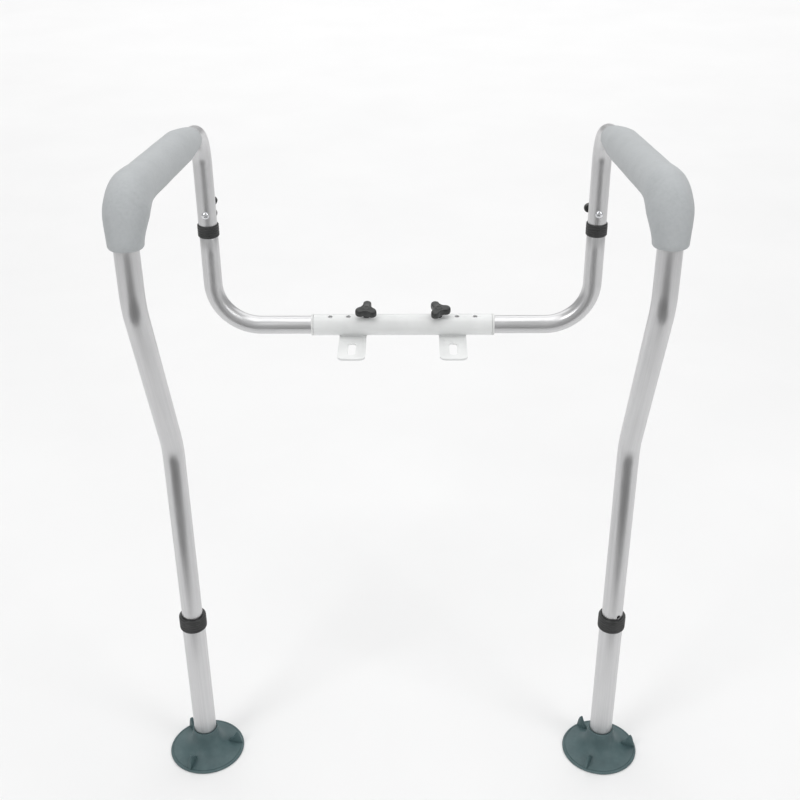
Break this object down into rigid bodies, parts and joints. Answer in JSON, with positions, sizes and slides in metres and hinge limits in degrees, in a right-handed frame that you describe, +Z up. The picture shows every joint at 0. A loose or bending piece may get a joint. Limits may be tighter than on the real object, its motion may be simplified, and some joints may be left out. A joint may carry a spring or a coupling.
{
  "type": "toilet safety frame",
  "caption": "Height and width adjustable toilet safety frame: padded inverted-U arm rails on suction-cup legs, joined behind the seat by a clamped centre sleeve.",
  "frame": {"origin": "on the floor plane, at the centre of the footprint's bounding box", "axes": "+X to the right for a viewer standing in front, +Y to the rear towards the tank, +Z up"},
  "size_m": [0.6206, 0.4996, 0.8202],
  "materials": {
    "white_coat": "smooth white powder coat, semi gloss",
    "white_plastic": "white moulded plastic, satin",
    "aluminium_bar": "satin anodised, fine lengthwise draw lines",
    "aluminium_arm": "satin anodised, fine lengthwise draw lines",
    "aluminium_leg": "satin anodised, slightly more matte",
    "grey_foam": "closed-cell foam grip, light blue-grey, fine pores and moulded skin",
    "black_collar": "black moulded plastic with fine ribs round it",
    "black_knob": "black moulded plastic, low gloss",
    "bolt_steel": "bright plated dome head",
    "stud_steel": "zinc plated thread",
    "washer_steel": "zinc plated",
    "teal_rubber": "dark teal-grey rubber, slight sheen"
  },
  "bodies": {
    "bracket": {"centre_bracket": "white_coat", "sleeve_bushing_l": "white_plastic", "sleeve_bushing_r": "white_plastic"},
    "width_knob_left": {"width_knob_l": "black_knob", "width_stud_l": "stud_steel"},
    "side_bar_left": {"side_bar_l": "aluminium_bar"},
    "arm_left": {"arm_tube_l": "aluminium_arm", "arm_pad_l": "grey_foam", "post_collar_l": "black_collar", "height_bolt_l": "bolt_steel"},
    "height_knob_left": {"height_knob_l": "black_knob"},
    "leg_left": {"leg_tube_l": "aluminium_leg", "leg_collar_l": "black_collar", "suction_foot_l": "teal_rubber", "foot_washer_l": "washer_steel"},
    "width_knob_right": {"width_knob_r": "black_knob", "width_stud_r": "stud_steel"},
    "side_bar_right": {"side_bar_r": "aluminium_bar"},
    "arm_right": {"arm_tube_r": "aluminium_arm", "arm_pad_r": "grey_foam", "post_collar_r": "black_collar", "height_bolt_r": "bolt_steel"},
    "height_knob_right": {"height_knob_r": "black_knob"},
    "leg_right": {"leg_tube_r": "aluminium_leg", "leg_collar_r": "black_collar", "suction_foot_r": "teal_rubber", "foot_washer_r": "washer_steel"}
  },
  "joints": [
    {"name": "width_slide_left", "type": "slide", "parent": "bracket", "child": "side_bar_left", "axis": [-1, 0, 0], "range_m": [0, 0.0508]},
    {"name": "height_slide_left", "type": "slide", "parent": "side_bar_left", "child": "arm_left", "axis": [0, 0, 1], "range_m": [0, 0.0508]},
    {"name": "leg_slide_left", "type": "slide", "parent": "arm_left", "child": "leg_left", "axis": [0, 0, -1], "range_m": [0, 0.0508]},
    {"name": "height_knob_turn_left", "type": "hinge", "parent": "arm_left", "child": "height_knob_left", "pos_m": [-0.262, 0.22325, 0.625], "axis": [0, 1, 0], "continuous": true},
    {"name": "width_knob_turn_left", "type": "hinge", "parent": "bracket", "child": "width_knob_left", "pos_m": [-0.0505, 0.22325, 0.4573], "axis": [0, -0.2588, 0.9659], "continuous": true},
    {"name": "width_slide_right", "type": "slide", "parent": "bracket", "child": "side_bar_right", "axis": [1, 0, 0], "range_m": [0, 0.0508]},
    {"name": "height_slide_right", "type": "slide", "parent": "side_bar_right", "child": "arm_right", "axis": [0, 0, 1], "range_m": [0, 0.0508]},
    {"name": "leg_slide_right", "type": "slide", "parent": "arm_right", "child": "leg_right", "axis": [0, 0, -1], "range_m": [0, 0.0508]},
    {"name": "height_knob_turn_right", "type": "hinge", "parent": "arm_right", "child": "height_knob_right", "pos_m": [0.262, 0.22325, 0.625], "axis": [0, 1, 0], "continuous": true},
    {"name": "width_knob_turn_right", "type": "hinge", "parent": "bracket", "child": "width_knob_right", "pos_m": [0.0505, 0.22325, 0.4573], "axis": [0, -0.2588, 0.9659], "continuous": true}
  ],
  "couplings": [
    {"joint": "leg_slide_left", "follows": "height_slide_left", "ratio": 1},
    {"joint": "leg_slide_right", "follows": "height_slide_right", "ratio": 1}
  ]
}
